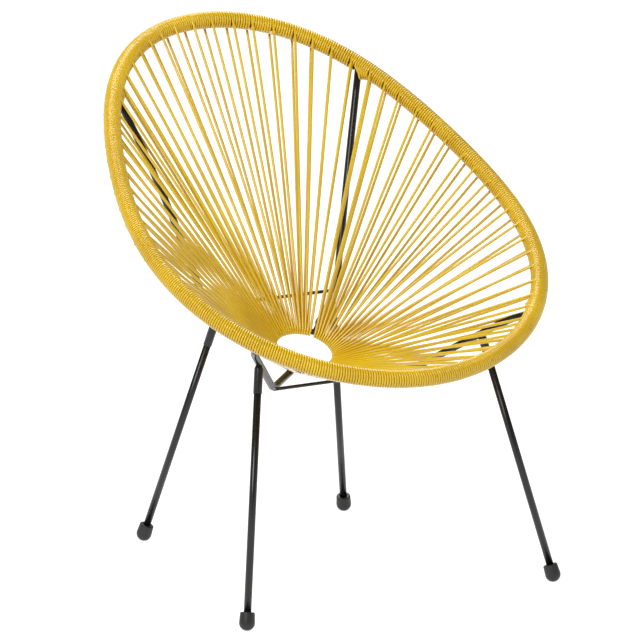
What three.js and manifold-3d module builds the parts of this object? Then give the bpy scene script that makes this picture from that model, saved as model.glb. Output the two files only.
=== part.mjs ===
// Acapulco chair: a strung and wound cord basket on a bent steel tube frame with four plug-in legs.
// Millimetres, +Z up, the seat faces -Y, the origin is under the middle of the chair on the floor.
import * as THREE from 'three';
import { mergeVertices } from 'three/addons/utils/BufferGeometryUtils.js';
import Module from 'manifold-3d';

const wasm = await Module();
wasm.setup();

const degrees = (angle) => THREE.MathUtils.degToRad(angle);

// Cord and the clearances between touching pieces
const cordRadius = 2;
const fitGap = 0.3;

// Rim: an egg, wider towards the front, whose plane leans back from the front edge
const rimHalfWidth = 383;
const rimHalfLength = 455.9;
const rimCentreY = -0.8;
const rimCentreZ = 643;
const rimTilt = degrees(30.25);
const rimWideFrontShare = 0.19;
const rimShoulderShare = 0.227;
const rimCheekShare = 0.026;
const rimHipShare = 0.009;
const rimNoseShare = -0.073;
const rimCrownShare = 0.188;
const rimSaddleShare = 0.03;
const rimDishShare = -0.0185;
const woundRadius = 14;
const hoopRadius = woundRadius - 2 * cordRadius - fitGap;
const hoopSides = 8;

// Centre ring that every cord turns round
const ringRadius = 57.3;
const ringRodRadius = 5;
const ringCentreY = 26.3;
const ringCentreZ = 363;
const ringTilt = degrees(25.1);
const ringRodSides = 8;
const ringSteps = 36;

// Cord lay: pairs of strands, three to a run, the first pair a little to one side of the top
const pairCount = 66;
const pairsPerRun = 3;
const runCount = pairCount / pairsPerRun;
const firstPairArc = 15;
const bandsPerPair = 2;
const ribDepth = 0.9;
const woundSides = 8;
const cordSides = 4;
const loopSteps = 4;
const strandInset = 1;
const strandSeat = 12.2;

// Frame tube, drawn thin where it passes between the cords to the ring
const armRadius = 6.25;
const armTipRadius = 3;
const armTipLength = 18;
const armTaperLength = 12;
const armSides = 10;
const bendSteps = 4;

// Rear arm: from the rim, bowed inwards, to a knee under the basket and on to the ring.
// The bow is set from the arm's place on the rim, and the knee from the middle of the ring.
const rearArmRimAngle = degrees(45.5);
const rearArmRingAngle = degrees(42.5);
const rearBowInset = 55.6;
const rearBowForward = 63.1;
const rearBowDrop = 160.6;
const rearBowTrim = 130;
const rearKneeSpread = 126.75;
const rearKneeBack = 115.3;
const rearKneeRise = 63.2;
const rearKneeTrim = 22;

// Front arm: from the rim back and down to its lowest bend, then to the ring.
// The shoulder is set from the arm's place on the rim, and the lowest bend from the ring.
const frontArmRimAngle = degrees(144.3);
const frontArmRingAngle = degrees(136.7);
const frontShoulderInset = 20.6;
const frontShoulderBack = 55.2;
const frontShoulderDrop = 28.5;
const frontShoulderTrim = 20;
const frontVertexSpread = 133.8;
const frontVertexForward = 130.3;
const frontVertexDrop = 20.8;
const frontVertexTrim = 16;

// Cross bars between the two sides of the frame: the rear one at a share of the rear arm's length,
// the front one a little under the middle of the front arm's lowest bend
const crossBarRadius = 3;
const crossBarSides = 8;
const rearBarShare = 0.765;
const frontBarDrop = 4.3;

// Legs: foot centres on the floor, and the shares of the arms' lengths where the sockets stand
const frontFootX = 295.3;
const frontFootY = -310.3;
const rearFootX = 199.3;
const rearFootY = 233.2;
const frontLegShare = 0.298;
const rearLegShare = 0.803;
const legRadius = 6.25;
const legWall = 1.5;
const roundSides = 12;

// Leg sockets, open below, each on a neck from its arm
const socketRadius = 7.4;
const socketLength = 42;
const frontNeckLength = 2.5;
const rearNeckLength = 14;
const neckRadius = 5.6;
const socketRoof = 4;
const socketChamfer = 0.8;
const socketBore = legRadius + fitGap;

// Foot caps: a soft cup with a chamfered top, a round sole and a small flat to stand on
const capRadius = 13.2;
const capTopRadius = 12.2;
const capChamfer = 1.2;
const capHeight = 30.5;
const capFlatDepth = 0.8;
const capFloor = 6;
const capSoleSteps = 4;

// One length that clears the whole chair, for trimming
const overrun = 1000;

const steel = { color: 0x2f2d2c, roughness: 0.42, metalness: 0.35 };
const cord = { color: 0xdcae2c, roughness: 0.38, metalness: 0 };
const rubber = { color: 0x1d1c1c, roughness: 0.8, metalness: 0 };

// Rim curve: angle 0 is the top of the back, a half turn is the middle of the front edge
function rimPoint(angle) {
  const c = Math.cos(angle);
  const widthShare = 1 - rimWideFrontShare * c + rimShoulderShare * (c * c - 0.5)
    + rimCheekShare * c ** 3 + rimHipShare * c ** 4;
  const alongShare = c + rimNoseShare * (c * c - 1) + rimCrownShare * (c ** 3 - c);
  const liftShare = rimSaddleShare * (c * c - 0.5) + rimDishShare * c ** 4;
  const along = rimHalfLength * alongShare;
  const lift = rimHalfLength * liftShare;
  return new THREE.Vector3(
    rimHalfWidth * Math.sin(angle) * widthShare,
    rimCentreY + along * Math.cos(rimTilt) - lift * Math.sin(rimTilt),
    rimCentreZ + along * Math.sin(rimTilt) + lift * Math.cos(rimTilt)
  );
}

// Arc length round the rim against its angle, so that cords can be set out at equal steps
const arcSteps = 3600;
const arcTable = [0];
for (let i = 1; i <= arcSteps; i += 1) {
  const from = rimPoint((2 * Math.PI * (i - 1)) / arcSteps);
  const to = rimPoint((2 * Math.PI * i) / arcSteps);
  arcTable.push(arcTable[i - 1] + from.distanceTo(to));
}
const rimLength = arcTable[arcSteps];
const pairPitch = rimLength / pairCount;

function arcAt(angle) {
  return arcTable[Math.round((angle / (2 * Math.PI)) * arcSteps)];
}

function rimAngleAt(arc) {
  const wrapped = ((arc % rimLength) + rimLength) % rimLength;
  let low = 0;
  let high = arcSteps;
  while (high - low > 1) {
    const middle = Math.floor((low + high) / 2);
    if (arcTable[middle] > wrapped) {
      high = middle;
    } else {
      low = middle;
    }
  }
  const share = (wrapped - arcTable[low]) / (arcTable[high] - arcTable[low]);
  return (2 * Math.PI * (low + share)) / arcSteps;
}

// Centre ring: a point of its rod, and the directions out of the ring and square to its plane
const ringUp = new THREE.Vector3(0, -Math.sin(ringTilt), Math.cos(ringTilt));
const ringCentre = new THREE.Vector3(0, ringCentreY, ringCentreZ);

function ringOutward(angle) {
  return new THREE.Vector3(
    Math.sin(angle),
    Math.cos(angle) * Math.cos(ringTilt),
    Math.cos(angle) * Math.sin(ringTilt)
  );
}

function ringPoint(angle) {
  return ringCentre.clone().addScaledVector(ringOutward(angle), ringRadius);
}

// Directions at a place on the rim: along the hoop, towards the ring, and out of the seat side
function rimFrame(arc) {
  const centre = rimPoint(rimAngleAt(arc));
  const along = rimPoint(rimAngleAt(arc + cordRadius)).sub(rimPoint(rimAngleAt(arc - cordRadius)));
  along.normalize();
  const inward = ringPoint((2 * Math.PI * arc) / rimLength).sub(centre);
  inward.addScaledVector(along, -inward.dot(along)).normalize();
  const seat = new THREE.Vector3().crossVectors(inward, along).normalize();
  return { centre, along, inward, seat };
}

function aroundRim(arc, radius, turn) {
  const frame = rimFrame(arc);
  return frame.centre
    .addScaledVector(frame.inward, radius * Math.cos(turn))
    .addScaledVector(frame.seat, radius * Math.sin(turn));
}

// Solids: a geometry becomes a solid for joins and cuts, and a solid becomes a geometry again
function toSolid(geometry) {
  const bare = geometry.clone();
  bare.deleteAttribute('normal');
  bare.deleteAttribute('uv');
  const merged = mergeVertices(bare);
  return new wasm.Manifold(new wasm.Mesh({
    numProp: 3,
    vertProperties: new Float32Array(merged.attributes.position.array),
    triVerts: new Uint32Array(merged.index.array)
  }));
}

function toGeometry(solid) {
  const mesh = solid.getMesh();
  const geometry = new THREE.BufferGeometry();
  geometry.setAttribute('position', new THREE.BufferAttribute(mesh.vertProperties.slice(), 3));
  geometry.setIndex(new THREE.BufferAttribute(mesh.triVerts.slice(), 1));
  const faceted = geometry.toNonIndexed();
  faceted.computeVertexNormals();
  return faceted;
}

// A route that takes one step from each station to the next, so straight stretches stay cheap
class StationRoute extends THREE.Curve {
  constructor(stations) {
    super();
    this.stations = stations;
  }

  getPoint(share) {
    const last = this.stations.length - 1;
    const place = Math.min(share * last, last);
    const low = Math.min(Math.floor(place), last - 1);
    return this.stations[low].clone().lerp(this.stations[low + 1], place - low);
  }

  getPointAt(share) {
    return this.getPoint(share);
  }

  getTangentAt(share) {
    const last = this.stations.length - 1;
    const here = Math.round(share * last);
    const tangent = new THREE.Vector3();
    if (here > 0) {
      tangent.add(this.stations[here].clone().sub(this.stations[here - 1]).normalize());
    }
    if (here < last) {
      tangent.add(this.stations[here + 1].clone().sub(this.stations[here]).normalize());
    }
    return tangent.normalize();
  }
}

function circleOutline(radius, sides) {
  const outline = new THREE.Shape();
  for (let i = 0; i < sides; i += 1) {
    const turn = (2 * Math.PI * i) / sides;
    if (i === 0) {
      outline.moveTo(radius, 0);
    } else {
      outline.lineTo(radius * Math.cos(turn), radius * Math.sin(turn));
    }
  }
  outline.closePath();
  return outline;
}

function tubeAlong(stations, radius, sides) {
  return new THREE.ExtrudeGeometry(circleOutline(radius, sides), {
    steps: stations.length - 1,
    extrudePath: new StationRoute(stations),
    bevelEnabled: false
  });
}

// A bent tube's stations: straight runs between corners, each corner rounded over its trim
function bentRoute(corners, trims) {
  const stations = [corners[0].clone()];
  for (let i = 1; i < corners.length - 1; i += 1) {
    const corner = corners[i];
    const before = corners[i - 1].clone().sub(corner).setLength(trims[i - 1]).add(corner);
    const after = corners[i + 1].clone().sub(corner).setLength(trims[i - 1]).add(corner);
    const bend = new THREE.QuadraticBezierCurve3(before, corner, after);
    stations.push(...bend.getPoints(bendSteps));
  }
  stations.push(corners[corners.length - 1].clone());
  return stations;
}

// Rings of points joined one to the next, and the last to the first, into one closed hoop
function joinRings(rings) {
  const sides = rings[0].length;
  const faces = [];
  for (let i = 0; i < rings.length; i += 1) {
    const here = i * sides;
    const there = ((i + 1) % rings.length) * sides;
    for (let side = 0; side < sides; side += 1) {
      const next = (side + 1) % sides;
      faces.push(here + side, there + side, there + next);
      faces.push(here + side, there + next, here + next);
    }
  }
  const geometry = new THREE.BufferGeometry().setFromPoints(rings.flat());
  geometry.setIndex(faces);
  return geometry;
}

// The four arms that meet the rim and the ring, in order round the chair
const armRimArcs = [
  arcAt(rearArmRimAngle),
  arcAt(frontArmRimAngle),
  rimLength - arcAt(frontArmRimAngle),
  rimLength - arcAt(rearArmRimAngle)
];
const armRingAngles = [
  rearArmRingAngle,
  frontArmRingAngle,
  2 * Math.PI - frontArmRingAngle,
  2 * Math.PI - rearArmRingAngle
];
const armPassage = armTipRadius + cordRadius + fitGap;
const armRimPassage = armRadius + cordRadius + fitGap;

function pairArc(pair) {
  return firstPairArc + pair * pairPitch;
}

// Between two arms the loops share the ring evenly, and leave each arm room to reach it
function sectorOf(pair) {
  const arc = ((pairArc(pair) % rimLength) + rimLength) % rimLength;
  return armRimArcs.filter((armArc) => arc > armArc).length % armRimArcs.length;
}

function loopAngle(pair) {
  const sector = sectorOf(pair);
  const members = [];
  for (let other = 0; other < pairCount; other += 1) {
    if (sectorOf(other) === sector) {
      members.push(other);
    }
  }
  const wraps = sector === 0;
  const rank = (other) => (wraps && pairArc(other) > rimLength / 2 ? other - pairCount : other);
  members.sort((a, b) => rank(a) - rank(b));
  const lastArm = armRingAngles.length - 1;
  const from = wraps ? armRingAngles[lastArm] - 2 * Math.PI : armRingAngles[sector - 1];
  const to = armRingAngles[sector];
  const room = armPassage / ringRadius;
  const share = members.indexOf(pair) / (members.length - 1);
  return from + room + share * (to - from - 2 * room);
}

// The under strand leaves the rim beside an arm, never through it
function underStrandArc(pair) {
  const arc = pairArc(pair);
  const sector = sectorOf(pair);
  const behind = armRimArcs[(sector + armRimArcs.length - 1) % armRimArcs.length];
  const ahead = armRimArcs[sector];
  const past = Math.abs(arc - behind) < armRimPassage ? behind + armRimPassage : arc;
  return Math.abs(past - ahead) < armRimPassage ? ahead - armRimPassage : past;
}

// One pair: down from the seat side of the rim, round the ring, and back to the under side
function pairStations(pair) {
  const angle = loopAngle(pair);
  const outward = ringOutward(angle);
  const rod = ringPoint(angle);
  const top = rimFrame(pairArc(pair));
  const under = rimFrame(underStrandArc(pair));
  const toRim = top.centre.clone().sub(rod);
  const rise = Math.atan2(toRim.dot(ringUp), toRim.dot(outward));
  const loopRadius = (ringRodRadius + cordRadius + fitGap) / Math.cos(Math.PI / (2 * loopSteps));
  const stations = [top.centre.clone()
    .addScaledVector(top.inward, -strandInset)
    .addScaledVector(top.seat, strandSeat)];
  for (let i = 0; i <= loopSteps; i += 1) {
    const turn = rise + Math.PI / 2 + (Math.PI * i) / loopSteps;
    stations.push(rod.clone()
      .addScaledVector(outward, loopRadius * Math.cos(turn))
      .addScaledVector(ringUp, loopRadius * Math.sin(turn)));
  }
  stations.push(under.centre.clone()
    .addScaledVector(under.inward, -strandInset)
    .addScaledVector(under.seat, -strandSeat));
  return stations;
}

// The wound sleeve of one run. Its outside is one screw ridge, which turns over the seat side
// towards the ring as the cord does and stands for a band of close turns. The hoop fills its bore.
function sleeveGeometry(run) {
  const start = pairArc(run * pairsPerRun) - pairPitch / 2 + fitGap / 2;
  const length = pairsPerRun * pairPitch - fitGap;
  const bandPitch = pairPitch / bandsPerPair;
  const points = [];
  const faces = [];
  const addPoint = (column, along, radius) => {
    const turn = (-2 * Math.PI * (column + 0.5)) / woundSides;
    points.push(aroundRim(start + along, radius, turn));
    return points.length - 1;
  };
  const face = (a, b, c) => {
    if (a !== b && b !== c && c !== a) {
      faces.push(a, b, c);
    }
  };
  // Down each column the ridge's edges come at half steps: valleys at whole ones, crests between
  const place = (column, half) => (half / 2 + column / woundSides) * bandPitch;
  const radiusAt = (column, along) => {
    const phase = along / bandPitch - column / woundSides;
    const fromValley = phase - Math.floor(phase);
    return woundRadius - ribDepth * Math.abs(1 - 2 * fromValley);
  };
  const halves = Math.ceil((2 * length) / bandPitch);
  const halvesPerTurn = 2;
  const columns = [];
  for (let column = 0; column < woundSides; column += 1) {
    const first = addPoint(column, 0, radiusAt(column, 0));
    const last = addPoint(column, length, radiusAt(column, length));
    const between = new Map();
    for (let half = -halvesPerTurn; half <= halves; half += 1) {
      const along = place(column, half);
      if (along > fitGap && along < length - fitGap) {
        between.set(half, addPoint(column, along, radiusAt(column, along)));
      }
    }
    columns.push({ first, last, between });
  }
  // A turn on, a column is the first one again, one band further along
  const pointOf = (column, half) => {
    const wraps = column === woundSides;
    const { first, last, between } = columns[wraps ? 0 : column];
    const own = wraps ? half + halvesPerTurn : half;
    if (between.has(own)) {
      return between.get(own);
    }
    return place(column, half) < length / 2 ? first : last;
  };
  for (let column = 0; column < woundSides; column += 1) {
    for (let half = -2 * halvesPerTurn; half <= halves; half += 1) {
      const a = pointOf(column, half);
      const b = pointOf(column, half + 1);
      const c = pointOf(column + 1, half + 1);
      const d = pointOf(column + 1, half);
      face(a, c, b);
      face(a, d, c);
    }
  }
  const boreRadius = hoopRadius + fitGap / Math.cos(Math.PI / woundSides);
  const bore = [];
  for (let i = 0; i <= pairsPerRun; i += 1) {
    const ring = [];
    for (let column = 0; column < woundSides; column += 1) {
      ring.push(addPoint(column, (i * length) / pairsPerRun, boreRadius));
    }
    bore.push(ring);
  }
  for (let column = 0; column < woundSides; column += 1) {
    const next = (column + 1) % woundSides;
    for (let i = 0; i < pairsPerRun; i += 1) {
      face(bore[i][column], bore[i + 1][column], bore[i + 1][next]);
      face(bore[i][column], bore[i + 1][next], bore[i][next]);
    }
    const end = bore[pairsPerRun];
    face(columns[column].first, bore[0][next], columns[next].first);
    face(columns[column].first, bore[0][column], bore[0][next]);
    face(columns[column].last, columns[next].last, end[next]);
    face(columns[column].last, end[next], end[column]);
  }
  const geometry = new THREE.BufferGeometry().setFromPoints(points);
  geometry.setIndex(faces);
  return geometry;
}

function cordRun(run, armCuts) {
  let solid = toSolid(sleeveGeometry(run));
  for (let i = 0; i < pairsPerRun; i += 1) {
    const stations = pairStations(run * pairsPerRun + i);
    solid = solid.add(toSolid(tubeAlong(stations, cordRadius, cordSides)));
  }
  armCuts.forEach((cut) => {
    solid = solid.subtract(cut);
  });
  return toGeometry(solid);
}

function rimHoop(radius) {
  const rings = [];
  for (let i = 0; i < pairCount; i += 1) {
    const arc = pairArc(i) - pairPitch / 2;
    const ring = [];
    for (let corner = 0; corner < hoopSides; corner += 1) {
      ring.push(aroundRim(arc, radius, (2 * Math.PI * (corner + 0.5)) / hoopSides));
    }
    rings.push(ring);
  }
  return joinRings(rings);
}

function centreRing(radius) {
  const geometry = new THREE.TorusGeometry(ringRadius, radius, ringRodSides, ringSteps);
  geometry.rotateX(ringTilt);
  geometry.translate(0, ringCentreY, ringCentreZ);
  return geometry;
}

// An arm's centre line runs from the middle of the hoop to the middle of the ring's rod
function armRoute(rimAngle, ringAngle, corners, trims) {
  return bentRoute([rimPoint(rimAngle), ...corners, ringPoint(ringAngle)], trims);
}

function armSolid(route, radius) {
  const end = route[route.length - 1];
  const back = route[route.length - 2].clone().sub(end).normalize();
  const tipStart = end.clone().addScaledVector(back, armTipLength);
  const taperStart = tipStart.clone().addScaledVector(back, armTaperLength);
  const geometry = tubeAlong([...route.slice(0, -1), taperStart, tipStart, end], radius, armSides);
  const thinning = (armTipRadius + radius - armRadius) / radius;
  const places = geometry.attributes.position;
  for (let i = 0; i < places.count; i += 1) {
    const offset = new THREE.Vector3().fromBufferAttribute(places, i).sub(end);
    const along = offset.dot(back);
    if (along < armTipLength + armTaperLength / 2) {
      const middle = end.clone().addScaledVector(back, along);
      offset.addScaledVector(back, -along).multiplyScalar(thinning);
      middle.add(offset);
      places.setXYZ(i, middle.x, middle.y, middle.z);
    }
  }
  return toSolid(geometry);
}

// An arm as it is welded in: its ends are coped to the hoop and to the ring
function copedArm(route) {
  const hoopRoom = toSolid(rimHoop(hoopRadius + fitGap));
  const ringRoom = toSolid(centreRing(ringRodRadius + fitGap));
  return toGeometry(armSolid(route, armRadius).subtract(hoopRoom).subtract(ringRoom));
}

// Turns a piece that stands along +Y to the given direction
function turnFrom(direction) {
  return new THREE.Quaternion().setFromUnitVectors(new THREE.Vector3(0, 1, 0), direction);
}

const mirrored = (point, side) => new THREE.Vector3(side * point.x, point.y, point.z);
const rearBow = rimPoint(rearArmRimAngle)
  .add(new THREE.Vector3(-rearBowInset, -rearBowForward, -rearBowDrop));
const rearKnee = ringCentre.clone()
  .add(new THREE.Vector3(rearKneeSpread, rearKneeBack, rearKneeRise));
const frontShoulder = rimPoint(frontArmRimAngle)
  .add(new THREE.Vector3(-frontShoulderInset, frontShoulderBack, -frontShoulderDrop));
const frontVertex = ringCentre.clone()
  .add(new THREE.Vector3(frontVertexSpread, -frontVertexForward, -frontVertexDrop));

function rearArmRoute(side) {
  const corners = [mirrored(rearBow, side), mirrored(rearKnee, side)];
  return armRoute(side * rearArmRimAngle, side * rearArmRingAngle, corners,
    [rearBowTrim, rearKneeTrim]);
}

function frontArmRoute(side) {
  const corners = [mirrored(frontShoulder, side), mirrored(frontVertex, side)];
  return armRoute(side * frontArmRimAngle, side * frontArmRingAngle, corners,
    [frontShoulderTrim, frontVertexTrim]);
}

// A piece whose ends stand against the arms is coped to them
function copedToArms(geometry, armCuts) {
  let solid = toSolid(geometry);
  armCuts.forEach((cut) => {
    solid = solid.subtract(cut);
  });
  return toGeometry(solid);
}

// A cross bar runs level between the same place on the left and the right arm
function crossBar(place) {
  const stations = [mirrored(place, -1), mirrored(place, 1)];
  return tubeAlong(stations, crossBarRadius, crossBarSides);
}

// The point at a share of a route's length
function placeOnRoute(route, share) {
  const steps = route.slice(1).map((place, i) => place.distanceTo(route[i]));
  let left = share * steps.reduce((sum, step) => sum + step, 0);
  let i = 0;
  while (left > steps[i] && i < steps.length - 1) {
    left -= steps[i];
    i += 1;
  }
  return route[i].clone().lerp(route[i + 1], left / steps[i]);
}

function middleOfBend(route, bend) {
  return route[1 + bend * (bendSteps + 1) + bendSteps / 2].clone();
}

// A turned piece whose profile runs up +Y is set along a leg's line, from its foot to its top
function alongLeg(geometry, leg, distance) {
  geometry.applyQuaternion(turnFrom(leg.up));
  const place = leg.foot.clone().addScaledVector(leg.up, distance);
  geometry.translate(place.x, place.y, place.z);
  return geometry;
}

function legLine(foot, top, neckLength) {
  const up = top.clone().sub(foot);
  const length = up.length();
  return { foot, up: up.normalize(), length, shoulder: length - armRadius - neckLength };
}

const profile = (pairs) => pairs.map(([radius, height]) => new THREE.Vector2(radius, height));

function legSocket(leg) {
  const { length: top, shoulder } = leg;
  const bottom = shoulder - socketLength;
  return alongLeg(new THREE.LatheGeometry(profile([
    [0, shoulder - socketRoof],
    [socketBore, shoulder - socketRoof],
    [socketBore, bottom],
    [socketRadius - socketChamfer / 2, bottom],
    [socketRadius, bottom + socketChamfer],
    [socketRadius, shoulder],
    [neckRadius, top],
    [0, top]
  ]), roundSides), leg, 0);
}

function legTube(leg) {
  const top = leg.shoulder - socketRoof - fitGap;
  const bottom = capFloor + fitGap - capRadius;
  return alongLeg(new THREE.LatheGeometry(profile([
    [legRadius - legWall, bottom],
    [legRadius, bottom],
    [legRadius, top],
    [legRadius - legWall, top],
    [legRadius - legWall, bottom]
  ]), roundSides), leg, 0);
}

function footCap(leg) {
  const bore = legRadius + fitGap;
  const floor = capFloor - capRadius;
  const capTop = capHeight - capRadius;
  const points = [];
  for (let i = 0; i <= capSoleSteps; i += 1) {
    const turn = (Math.PI / 2) * (i / capSoleSteps);
    points.push([capRadius * Math.sin(turn), -capRadius * Math.cos(turn)]);
  }
  points[0][0] = 0;
  points.push([capTopRadius, capTop - capChamfer], [capTopRadius - capChamfer, capTop]);
  points.push([bore, capTop], [bore, floor], [0, floor]);
  const cup = toSolid(alongLeg(new THREE.LatheGeometry(profile(points), roundSides), leg, 0));
  const floorBlock = new THREE.BoxGeometry(overrun, overrun, overrun);
  floorBlock.translate(0, 0, -overrun / 2);
  return toGeometry(cup.subtract(toSolid(floorBlock)));
}

const chair = new THREE.Group();

function addNode(name, geometry, finish) {
  const mesh = new THREE.Mesh(geometry, new THREE.MeshStandardMaterial(finish));
  mesh.name = name;
  chair.add(mesh);
}

addNode('rim_hoop', rimHoop(hoopRadius), steel);
addNode('centre_ring', centreRing(ringRodRadius), steel);

const sides = [['left', 1], ['right', -1]];
const armCuts = [];
sides.forEach(([word, side]) => {
  const rearRoute = rearArmRoute(side);
  const frontRoute = frontArmRoute(side);
  addNode(`rear_arm_${word}`, copedArm(rearRoute), steel);
  addNode(`front_arm_${word}`, copedArm(frontRoute), steel);
  armCuts.push(armSolid(rearRoute, armRadius + fitGap), armSolid(frontRoute, armRadius + fitGap));
});

const rearBarPlace = placeOnRoute(rearArmRoute(1), rearBarShare);
const frontBarPlace = middleOfBend(frontArmRoute(1), 1);
frontBarPlace.z -= frontBarDrop;
addNode('rear_cross_bar', copedToArms(crossBar(rearBarPlace), armCuts), steel);
addNode('front_cross_bar', copedToArms(crossBar(frontBarPlace), armCuts), steel);

const footZ = capRadius - capFlatDepth;
const legPlaces = [
  ['front', frontFootX, frontFootY, placeOnRoute(frontArmRoute(1), frontLegShare), frontNeckLength],
  ['rear', rearFootX, rearFootY, placeOnRoute(rearArmRoute(1), rearLegShare), rearNeckLength]
];
legPlaces.forEach(([end, footX, footY, top, neckLength]) => {
  sides.forEach(([word, side]) => {
    const foot = new THREE.Vector3(side * footX, footY, footZ);
    const leg = legLine(foot, mirrored(top, side), neckLength);
    addNode(`${end}_leg_socket_${word}`, copedToArms(legSocket(leg), armCuts), steel);
    addNode(`${end}_leg_${word}`, legTube(leg), steel);
    addNode(`${end}_foot_cap_${word}`, footCap(leg), rubber);
  });
});

for (let run = 0; run < runCount; run += 1) {
  const number = String(run + 1).padStart(2, '0');
  addNode(`cord_run_${number}`, cordRun(run, armCuts), cord);
}

export default chair;
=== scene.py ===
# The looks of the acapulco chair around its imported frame: one golden cord wound on the egg-shaped rim
# and strung to the centre ring, a black coated tube frame, its leg sockets, legs and foot caps.
# Metres, +Z up, the seat faces -Y. The chair and the camera are first given in millimetres and turned
# into metres by MM.
import math

import bpy
import numpy as np
from mathutils import Matrix, Vector


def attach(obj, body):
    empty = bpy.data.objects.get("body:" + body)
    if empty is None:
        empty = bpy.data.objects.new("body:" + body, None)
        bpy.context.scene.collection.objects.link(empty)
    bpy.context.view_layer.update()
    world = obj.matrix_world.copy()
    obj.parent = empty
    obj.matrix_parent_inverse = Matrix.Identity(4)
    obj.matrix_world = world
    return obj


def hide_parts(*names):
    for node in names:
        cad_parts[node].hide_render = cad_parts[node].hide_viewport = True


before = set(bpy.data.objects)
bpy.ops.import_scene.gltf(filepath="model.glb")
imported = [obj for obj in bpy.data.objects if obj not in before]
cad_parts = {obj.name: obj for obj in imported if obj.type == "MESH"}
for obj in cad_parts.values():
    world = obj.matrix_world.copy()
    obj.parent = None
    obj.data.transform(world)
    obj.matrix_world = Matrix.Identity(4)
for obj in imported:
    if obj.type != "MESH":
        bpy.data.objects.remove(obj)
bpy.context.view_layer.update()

MM = 0.001
TURN = 2 * math.pi

# Millimetres and angles of the frame and the cord, the same as the solids have
CORD_RADIUS = 2.0
FIT_GAP = 0.3
RIM_HALF_WIDTH = 383.0
RIM_HALF_LENGTH = 455.9
RIM_CENTRE_Y = -0.8
RIM_CENTRE_Z = 643.0
RIM_TILT = math.radians(30.25)
WIDE_FRONT_SHARE = 0.19
SHOULDER_SHARE = 0.227
CHEEK_SHARE = 0.026
HIP_SHARE = 0.009
NOSE_SHARE = -0.073
CROWN_SHARE = 0.188
SADDLE_SHARE = 0.03
DISH_SHARE = -0.0185
WOUND_RADIUS = 14.0
HOOP_RADIUS = WOUND_RADIUS - 2 * CORD_RADIUS - FIT_GAP
RING_RADIUS = 57.3
RING_ROD_RADIUS = 5.0
RING_CENTRE = np.array([0.0, 26.3, 363.0])
RING_TILT = math.radians(25.1)
PAIR_COUNT = 66
PAIRS_PER_RUN = 3
FIRST_PAIR_ARC = 15.0
ARM_RADIUS = 6.25
ARM_TIP_RADIUS = 3.0
ARM_TIP_LENGTH = 18.0
ARM_TAPER_LENGTH = 12.0
REAR_ARM_RIM_ANGLE = math.radians(45.5)
REAR_ARM_RING_ANGLE = math.radians(42.5)
REAR_BOW_OFFSET = np.array([-55.6, -63.1, -160.6])
REAR_KNEE_OFFSET = np.array([126.75, 115.3, 63.2])
REAR_TRIMS = (130.0, 22.0)
FRONT_ARM_RIM_ANGLE = math.radians(144.3)
FRONT_ARM_RING_ANGLE = math.radians(136.7)
FRONT_SHOULDER_OFFSET = np.array([-20.6, 55.2, -28.5])
FRONT_VERTEX_OFFSET = np.array([133.8, -130.3, -20.8])
FRONT_TRIMS = (20.0, 16.0)
CROSS_BAR_RADIUS = 3.0
REAR_BAR_SHARE = 0.765
FRONT_BAR_DROP = np.array([0.0, 0.0, 4.3])
FRONT_LEG_SHARE = 0.298
REAR_LEG_SHARE = 0.803
FRONT_FOOT = (295.3, -310.3)
REAR_FOOT = (199.3, 233.2)
LEG_RADIUS = 6.25
LEG_WALL = 1.5
SOCKET_RADIUS = 7.4
SOCKET_LENGTH = 42.0
FRONT_NECK_LENGTH = 2.5
REAR_NECK_LENGTH = 14.0
NECK_RADIUS = 5.6
SOCKET_ROOF = 4.0
CAP_RADIUS = 13.2
CAP_TOP_RADIUS = 12.2
CAP_CHAMFER = 1.2
CAP_HEIGHT = 30.5
CAP_FLAT_DEPTH = 0.8
CAP_FLOOR = 6.0

# Millimetres by which the arms leave the hoop nearer its under side, and the rear right one nearer the
# top, than in the solids, as the photo shows
ARM_WELD_DROP = 5.0
REAR_RIGHT_WELD_SHIFT = 5.0

# How finely the frame's pieces are cut: sides round each tube, and steps along it or round a bend
HOOP_SIDES = 16
HOOP_STEPS = 264
RING_SIDES = 20
RING_STEPS = 96
ARM_SIDES = 28
BEND_STEPS = 14
TAPER_STEPS = 6
BAR_SIDES = 16
BAR_STEPS = 8
LEG_SIDES = 40
CAP_SIDES = 48
CAP_STEPS = 12
ROUNDING_STEPS = 3

# The radii of the turned edges of sockets and caps, and how far inside the arm a neck's taper ends
SOCKET_ROUNDING = 0.7
CAP_ROUNDING = 0.5
NECK_SEAT = 1


def unit(v):
    return v / np.linalg.norm(v)


def eased(value):
    """0 to 1 with a soft start and a soft end, and flat outside."""
    value = np.clip(value, 0, 1)
    return value * value * (3 - 2 * value)


def mesh_object(name, verts, faces, material, smooth=True):
    """An object from vertices in metres and their faces."""
    mesh = bpy.data.meshes.new(name)
    mesh.from_pydata([tuple(v) for v in verts], [], faces)
    mesh.validate()
    mesh.update()
    if smooth:
        mesh.polygons.foreach_set("use_smooth", [True] * len(mesh.polygons))
    mesh.materials.append(material)
    obj = bpy.data.objects.new(name, mesh)
    bpy.context.scene.collection.objects.link(obj)
    return obj


# The cosine above which a route starts too near the upright to take its cross direction from it
NEARLY_UPRIGHT = 0.9


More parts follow.
